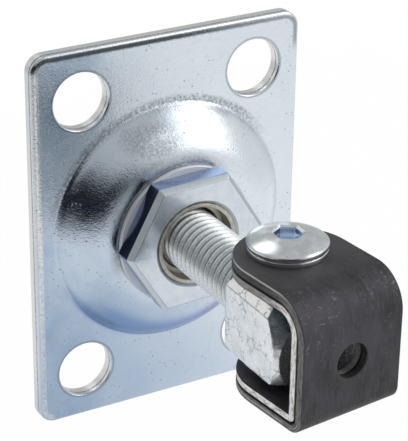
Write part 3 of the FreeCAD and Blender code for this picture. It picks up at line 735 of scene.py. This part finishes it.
def strap(name, inset, outside, inside, material):
    """One strap: a blank with round ends and three holes, cut across at close steps and then bent."""
    web, top, bottom = 28.0 - inset, 19.3 - inset, 18.4 - inset
    outer = BentPath(web, top, bottom, *outside)
    inner = BentPath(web - strip_thickness, top - strip_thickness, bottom - strip_thickness, *inside)
    upper_start = web - outside[0]
    lower_start = web - outside[1]
    web_high, web_low = top - outside[0], outside[1] - bottom
    upper_length, lower_length = math.pi / 2 * outside[0], math.pi / 2 * outside[1]
    first = upper_reach + upper_start
    second = first + upper_length
    third = second + (web_high - web_low)
    fourth = third + lower_length
    total = fourth + lower_start + lower_reach

    def blank_ring(builder, shift, height):
        """The blank's outline moved inwards: its length runs along X, and its ends are half circles."""
        radius = strip_half - shift
        points = arc(total - strip_half, 0, radius, -90, 90, 28) + arc(strip_half, 0, radius, 90, 270, 28)
        return ring(builder, [(along, side, height) for along, side in points])

    builder = bmesh.new()
    blank = builder.verts.layers.float_vector.new("blank")
    arris, burr = 0.5, 0.3
    rim = [(arris - across, strip_thickness - arris + up) for across, up in arc(0, 0, arris, 90, 0, 4)]
    rim += [(burr - across, burr - up) for across, up in arc(0, 0, burr, 0, 90, 3)]
    edge_rings = [blank_ring(builder, *step) for step in rim]
    skin(builder, edge_rings)
    faces = ([edge_rings[0]], [edge_rings[-1]])
    holes = [(upper_reach, 6.15), (total - lower_reach, 6.15), (second + web_high + 0.8, 5.0)]
    hole_profile = [(0.3, strip_thickness), (0.1, strip_thickness - 0.1), (0, strip_thickness - 0.35)]
    hole_profile += [(0, 0.25), (0.2, 0)]
    for along, radius in holes:
        rings = []
        for out, height in hole_profile:
            circle = arc(0, 0, radius + out, 0, 360 * 47 / 48, 47)
            rings.append(ring(builder, [(along + across, side, height) for across, side in circle]))
        skin(builder, rings)
        faces[0].append(rings[0])
        faces[1].append(rings[-1])
    for rings in faces:
        flat_fill(builder, rings)
    cuts = [1.5 * number for number in range(1, int(total / 1.5))]
    cuts += [first + upper_length * number / 20 for number in range(21)]
    cuts += [third + lower_length * number / 12 for number in range(13)]
    for along in cuts:
        everything = builder.verts[:] + builder.edges[:] + builder.faces[:]
        bmesh.ops.bisect_plane(
            builder, geom=everything, plane_co=(along, 0, 0), plane_no=(1, 0, 0), dist=1e-4,
        )

    def round_bend(bend, share, inward, leaves, arrives):
        """A point in a bend. The inner face leaves one straight stretch and arrives at the next."""
        inside = Vector(inner.point(bend, share))
        inside -= (Vector(inner.point(bend, 0)) - Vector(leaves)) * (1 - share) ** 2
        inside -= (Vector(inner.point(bend, 1)) - Vector(arrives)) * share ** 2
        return Vector(outer.point(bend, share)).lerp(inside, inward)

    def bent(along, side, height):
        """Where a point of the flat blank comes to lie on the bracket."""
        inward = 1 - height / strip_thickness
        if along <= first:
            return side, upper_reach - along, top - strip_thickness * inward
        if along < second:
            leaves, arrives = (-upper_start, top - strip_thickness), (strip_thickness - web, web_high)
            return side, *round_bend("upper_bend", (along - first) / upper_length, inward, leaves, arrives)
        if along <= third:
            return side, strip_thickness * inward - web, web_high - (along - second)
        if along < fourth:
            leaves, arrives = (strip_thickness - web, web_low), (-lower_start, strip_thickness - bottom)
            return side, *round_bend("lower_bend", (along - third) / lower_length, inward, leaves, arrives)
        return side, (along - fourth) - lower_start, strip_thickness * inward - bottom

    for vertex in builder.verts:
        vertex[blank] = vertex.co.copy()
        vertex.co = bent(*vertex.co)
    piece = new_piece(name, builder, "bracket", material, soften=40)
    keep_flats_even(piece)
    at_pin(piece)
    return piece


def mill_scale(name, sheared_tone, worn_else_seam_shaded):
    """Dark scale that was rolled along the strip, with bare sheared steel on its edges. The last argument is
    1 where the outer arris shows bright from wear, and 0 where that arris gets painted shade, black as in the
    seam."""
    finish = Finish(name, blank="blank")
    broad = finish.cloud(8, detail=4, roughness=0.6, place=finish.stretched((0.5, 1, 1)))
    rolled = finish.cloud(0.45, detail=4, roughness=0.7, place=finish.stretched((0.10, 1, 1)))
    fine = finish.cloud(0.4, detail=3, roughness=0.7)
    strokes = finish.cloud(0.8, detail=5, roughness=0.75, place=finish.stretched((0.9, 0.5, 1)), warp=0.6)
    bend_zone = finish.x.between(26, 31) * (1 - finish.x.between(46, 52))
    scuffs = strokes.between(0.56, 0.64) * (bend_zone * 0.9 + 0.25)
    scuffs = scuffs * finish.cloud(6, detail=2).between(0.40, 0.60)
    specks = (1 - finish.cells(1.3).between(0.08, 0.20)) * finish.cloud(4, detail=2).between(0.46, 0.60)
    tint = finish.blend(broad.between(0.3, 0.7), (0.036, 0.034, 0.038), (0.074, 0.070, 0.078))
    tint = finish.blend(rolled.between(0.50, 0.75) * 0.7, tint, (0.118, 0.105, 0.126))
    # Painted light: the scale on the upper leg is tinted lighter.
    tint = finish.blend((1 - finish.x.between(16, 34)) * 0.45, tint, (0.125, 0.120, 0.126))
    tint = finish.blend(specks * 0.6, tint, (0.012, 0.012, 0.014))
    tint = finish.blend(scuffs * 0.6, tint, (0.24, 0.22, 0.23))
    sheared = finish.z.between(0.25, 0.50) * (1 - finish.z.between(2.15, 2.35))
    streaks = finish.cloud(0.9, detail=4, roughness=0.7, place=finish.stretched((0.4, 1, 1.8)))
    dark_steel = [tone * sheared_tone for tone in (0.10, 0.095, 0.09)]
    light_steel = [tone * sheared_tone for tone in (0.66, 0.63, 0.59)]
    # Painted light and shade on the bare edges: lighter on the web and lower leg, darker along the upper leg
    # and on the hole walls.
    lit = (0.22 + finish.x.between(22, 38) * 0.78) * (0.25 + abs(finish.y).between(7, 9) * 0.75)
    bare = finish.blend(streaks.between(0.26, 0.60) * lit, dark_steel, light_steel)
    drag_line = 1 - abs(finish.z + fine * 0.3 - 1.45).between(0.10, 0.26)
    lower_leg = finish.x.between(66, 72)
    broken = finish.cloud(9, detail=1, place=finish.stretched((0.6, 1, 1))).between(0.40, 0.50)
    drag_line = drag_line * broken * lower_leg
    bare = finish.blend(drag_line * 0.7, bare, (0.62, 0.60, 0.56))
    tint = finish.blend(sheared, tint, bare)
    arris = finish.z.between(2.02, 2.14) * (1 - finish.z.between(2.36, 2.46))
    wear_and_painted_shade = finish.cloud(5, detail=3).between(0.30, 0.50) * 0.8 * (1.08 - finish.x.between(26, 42)) + 0.06
    # Painted shade: on the inner strap this arris is tinted black like the seam between the straps.
    tint = finish.blend(arris * wear_and_painted_shade, tint, (0.62, 0.58, 0.58) if worn_else_seam_shaded else (0.006, 0.006, 0.006))
    # Painted shade: a black line along the edge next to the inner face, as in the seam.
    seam_side = 1 - finish.z.between(0.20, 0.45)
    painted_inner_edge_shade = seam_side * finish.z.between(0.0, 0.05)
    tint = finish.blend(painted_inner_edge_shade * 0.8, tint, (0.006, 0.006, 0.006))
    roughness = 0.40 + broad * 0.12 + fine * 0.10 - scuffs * 0.10 - arris * (0.12 * worn_else_seam_shaded)
    height = broad * 0.3 + fine * 0.5 + rolled * 0.7 + scuffs * 0.3 - specks * 0.4 + sheared * streaks * 0.8
    return finish.finished(
        base_color=tint, metallic=0.6, roughness=roughness, normal=finish.relief(height, 0.035),
    )


outer_strap = strap("outer_strap", 0.0, (11.0, 4.5), (7.5, 2.1), mill_scale("outer_scale", 0.34, 1))
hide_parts("outer_bracket")
inner_strap = strap("inner_strap", 2.7, (7.5, 2.1), (5.5, 1.2), mill_scale("inner_scale", 1.7, 0))
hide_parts("inner_bracket")


# Pivot pin, its washer and its lock nut
# A turned steel pin with a low domed head and a hexagon socket passes through a washer, the straps and the
# eye. A plain hexagon nut under the lower leg holds it. All three are polished and zinc plated.
head_seat, head_radius = 20.8, 11.0
head_rim, head_dome = 1.4, 2.8
head_top = head_seat + head_rim + head_dome
head_arc = (head_radius ** 2 + head_dome ** 2) / (2 * head_dome)
socket_flats, socket_depth, socket_turn = 7.0, 4.5, -6.5
washer_low, washer_reach = 19.3, 10.9
nut_flats, nut_top, nut_under = 18.0, -18.4, -24.4


def turned_ring(builder, radius, height):
    """A ring about the pin's axis: radius and height are numbers, or depend on the angle."""
    points = []
    for step in range(96):
        angle = 2 * math.pi * step / 96
        reach = radius(angle) if callable(radius) else radius
        up = height(reach) if callable(height) else height
        points.append((reach * math.cos(angle), reach * math.sin(angle), up))
    return ring(builder, points)


def hexagon_reach(flats, widest=99, quarter=90):
    """The distance from the axis to a hexagon's outline by angle, held inside a circle; quarter turns it."""
    def reach(angle):
        from_flat = (angle - math.radians(quarter) + math.pi / 6) % (math.pi / 3) - math.pi / 6
        return min(flats / 2 / math.cos(from_flat), widest)
    return reach


def zinc_polished():
    finish = Finish("zinc_polished")
    radius = (finish.x * finish.x + finish.y * finish.y) ** 0.5
    rings = (radius * 14 + finish.cloud(2, detail=1) * 2).sine() * 0.5
    haze = finish.cloud(2.2, detail=4, roughness=0.6)
    pits = (1 - finish.cells(1.6).between(0.05, 0.16)) * finish.cloud(4, detail=1).between(0.5, 0.62)
    tint = finish.blend(haze.between(0.3, 0.7), (0.68, 0.70, 0.70), (0.82, 0.83, 0.83))
    socket = (1 - radius.between(3.5, 4.4)) * finish.z.between(18, 19)
    tint = finish.blend(socket, tint, (0.80, 0.88, 0.99))
    tint = finish.blend(pits * 0.6, tint, (0.30, 0.30, 0.31))
    return finish.finished(
        base_color=tint, metallic=1.0, roughness=0.13 + haze * 0.10,
        normal=finish.relief(rings * 0.15 + haze * 0.5 - pits * 0.8, 0.012),
    )


builder = bmesh.new()
crown = [
    (head_arc * math.sin(math.radians(angle)), head_top - head_arc + head_arc * math.cos(math.radians(angle)))
    for angle in [29.0 - 1.1 * number for number in range(13)]
]
rim_top = head_seat + head_rim
pin_profile = [(0.01, -26.0), (4.9, -26.0), (5.3, -25.9), (6.0, -25.2), (6.0, head_seat)]
pin_profile += [(10.35, head_seat), (10.7, head_seat + 0.1), (10.93, head_seat + 0.32)]
pin_profile += [(head_radius, head_seat + 0.6), (head_radius, rim_top - 0.25)]
pin_profile += [(10.96, rim_top - 0.08), (10.84, rim_top + 0.04)]
pin_profile += [(reach, height) for reach, height in crown if 4.6 < reach < 10.6]
pin_rings = [turned_ring(builder, *step) for step in pin_profile]
socket_profile = [(8.1, 4.45, 0.42), (7.7, 4.3, 0.52), (7.15, 4.1, 0.85)]
socket_profile += [(socket_flats, 4.04, 1.1), (socket_flats, 4.04, socket_depth)]
for flats, widest, drop in socket_profile:
    pin_rings.append(turned_ring(builder, hexagon_reach(flats, widest, socket_turn), head_top - drop))
pin_rings.append(turned_ring(builder, 0.01, head_top - socket_depth - 0.6))
skin(builder, pin_rings)
zinc_polished_finish = zinc_polished()
pin = new_piece("domed_pin", builder, "bracket", zinc_polished_finish)
at_pin(pin)
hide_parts("pivot_pin")

builder = bmesh.new()
washer_profile = [(6.15, washer_low + 0.2), (6.35, washer_low), (10.5, washer_low), (10.8, washer_low + 0.12)]
washer_profile += [(washer_reach, washer_low + 0.4), (washer_reach, head_seat - 0.5)]
washer_profile += [(10.84, head_seat - 0.22), (10.68, head_seat - 0.07), (10.45, head_seat)]
washer_profile += [(6.35, head_seat), (6.15, head_seat - 0.2)]
skin(builder, [turned_ring(builder, *step) for step in washer_profile], closed=True)
washer = new_piece("punched_washer", builder, "bracket", zinc_polished_finish)
at_pin(washer)
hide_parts("head_washer")


def corner_below(reach):
    """The nut's lower corners are turned off at 30 degrees."""
    return nut_under + (reach - 8.55) / math.sqrt(3) if reach > 8.55 else nut_under


def corner_above(reach):
    return nut_top - 0.1 - (reach - 8.9) * 0.3 if reach > 8.9 else nut_top


builder = bmesh.new()
nut_outline = hexagon_reach(nut_flats)
nut_profile = [(6.02, nut_under + 0.6), (6.6, nut_under), (8.55, nut_under), (nut_outline, corner_below)]
nut_profile += [(nut_outline, corner_above), (8.8, nut_top), (6.6, nut_top), (6.02, nut_top - 0.6)]
skin(builder, [turned_ring(builder, *step) for step in nut_profile], closed=True)
nut = new_piece("hexagon_nut", builder, "bracket", zinc_polished_finish)
at_pin(nut)
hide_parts("lock_nut")


# Studio
# A white floor in a bright room. The camera sees both as white. The zinc mirrors the room itself, with its
# windows on the right, pale walls, and a dark corner at the front left that shows in the dome.
floor_mesh = bpy.data.meshes.new("floor")
floor_low, floor_reach = -0.0576, 0.22
corners = [(-floor_reach, -floor_reach), (floor_reach, -floor_reach), (floor_reach, floor_reach)]
corners += [(-floor_reach, floor_reach)]
floor_mesh.from_pydata([(*corner, floor_low) for corner in corners], [], [range(4)])
floor = bpy.data.objects.new("floor", floor_mesh)
bpy.context.scene.collection.objects.link(floor)
floor_finish = Finish("floor")
seen = floor_finish.add("ShaderNodeLightPath")
seen_directly = Signal(floor_finish, seen.outputs["Is Camera Ray"])
# Painted shadow: where the zinc mirrors it, the floor near the part is bluish and glows less. The camera sees
# the floor white.
from_part = ((floor_finish.x + 12) ** 2 + (floor_finish.y + 30) ** 2) ** 0.5
clear_of_painted_floor_shadow = from_part.between(0, 85)
shade = floor_finish.blend(clear_of_painted_floor_shadow, (0.72, 0.80, 0.92), (0.93, 0.94, 0.96))
shade = floor_finish.blend(seen_directly, shade, (0.97, 0.97, 0.97))
plain = floor_finish.add("ShaderNodeBsdfDiffuse", None, {"Color": shade})
white = floor_finish.add("ShaderNodeEmission", None, {
    "Color": floor_finish.blend(seen_directly, shade, (1, 1, 1)), "Strength": 1.0})
share = seen_directly * 0.98 + (1 - seen_directly) * (0.45 + clear_of_painted_floor_shadow * 0.35)
mixed = floor_finish.add("ShaderNodeMixShader", None, {0: share, 1: plain.outputs[0], 2: white.outputs[0]})
floor_finish.add("ShaderNodeOutputMaterial", None, {"Surface": mixed.outputs[0]})
floor.data.materials.append(floor_finish.material)

world = bpy.data.worlds.new("room")
bpy.context.scene.world = world
world.use_nodes = True


class Room(Finish):
    """The room's brightness by direction."""

    def __init__(self, world):
        self.material = world
        self.material.node_tree.nodes.clear()
        self.direction = self.add("ShaderNodeTexCoord").outputs["Generated"]

    def patch(self, azimuth, elevation, inner, outer):
        """1 within inner degrees of a direction, 0 beyond outer. Azimuth 0 is the front, -Y; 90 is +X."""
        turned, raised = math.radians(azimuth), math.radians(elevation)
        level = math.cos(raised)
        way = (math.sin(turned) * level, -math.cos(turned) * level, math.sin(raised))
        node = self.add("ShaderNodeVectorMath", {"operation": "DOT_PRODUCT"}, {0: self.direction, 1: way})
        nearness = Signal(self, node.outputs["Value"])
        return nearness.between(math.cos(math.radians(outer)), math.cos(math.radians(inner)))

    def patches(self, *places):
        """Several patches that run together."""
        together = self.patch(*places[0])
        for place in places[1:]:
            together = together.at_least(self.patch(*place))
        return together


room = Room(world)
window = room.patches((40, 12, 5, 15), (54, 30, 7, 17), (70, 45, 8, 21))
window = window.at_least(room.patch(30, 33, 6, 17) * 0.4)
dark_corner = room.patches((-60, 13, 14, 25), (-38, 2, 17, 25), (-12, -4, 13, 20), (-84, 6, 12, 22))
right_wall = room.patch(62, 8, 25, 70)
low_wall = room.patch(0, -90, 62, 84)
light_tint = room.blend(right_wall, (0.51, 0.525, 0.54), (0.74, 0.755, 0.77))
light_tint = room.blend(low_wall, light_tint, (0.86, 0.88, 0.90))
light_tint = room.blend(window, light_tint, (2.2, 2.2, 2.2))
light_tint = room.blend(room.patch(-172, 52, 8, 18), light_tint, (1.7, 1.7, 1.7))
light_tint = room.blend(room.patch(-143, 16, 8, 20), light_tint, (0.86, 0.86, 0.84))
light_tint = room.blend(dark_corner, light_tint, (0.012, 0.012, 0.016))
lit = room.add("ShaderNodeBackground", None, {"Color": light_tint, "Strength": 1.0})
backdrop = room.add("ShaderNodeBackground", None, {"Color": (1, 1, 1), "Strength": 1.0})
seen = room.add("ShaderNodeLightPath").outputs["Is Camera Ray"]
mixed = room.add("ShaderNodeMixShader", None, {0: seen, 1: lit.outputs[0], 2: backdrop.outputs[0]})
room.add("ShaderNodeOutputWorld", None, {"Surface": mixed.outputs[0]})


photo_width, sensor_width = 408, 36
camera_data = bpy.data.cameras.new("camera")
camera_data.sensor_fit = "HORIZONTAL"
camera_data.sensor_width = sensor_width
camera_data.lens = 1946.9 / photo_width * sensor_width
camera_data.shift_x = -17.11 / photo_width
camera_data.shift_y = 42.2 / photo_width
camera_data.clip_start, camera_data.clip_end = 0.01, 20
camera = bpy.data.objects.new("camera", camera_data)
azimuth, elevation, roll = math.radians(-30.546), math.radians(27.372), math.radians(1.113)
level = math.cos(elevation)
behind = Vector((math.sin(azimuth) * level, -math.cos(azimuth) * level, math.sin(elevation)))
sideways = (-behind).cross(Vector((0, 0, 1))).normalized()
upwards = sideways.cross(-behind)
right = sideways * math.cos(roll) + upwards * math.sin(roll)
top = -sideways * math.sin(roll) + upwards * math.cos(roll)
place = (Vector((0, -35, 0)) + behind * 543.04) * MM
camera.matrix_world = Matrix((
    (right.x, top.x, behind.x, place.x),
    (right.y, top.y, behind.y, place.y),
    (right.z, top.z, behind.z, place.z),
    (0, 0, 0, 1),
))
bpy.context.scene.collection.objects.link(camera)
bpy.context.scene.camera = camera
bpy.context.scene.view_settings.view_transform = "Standard"
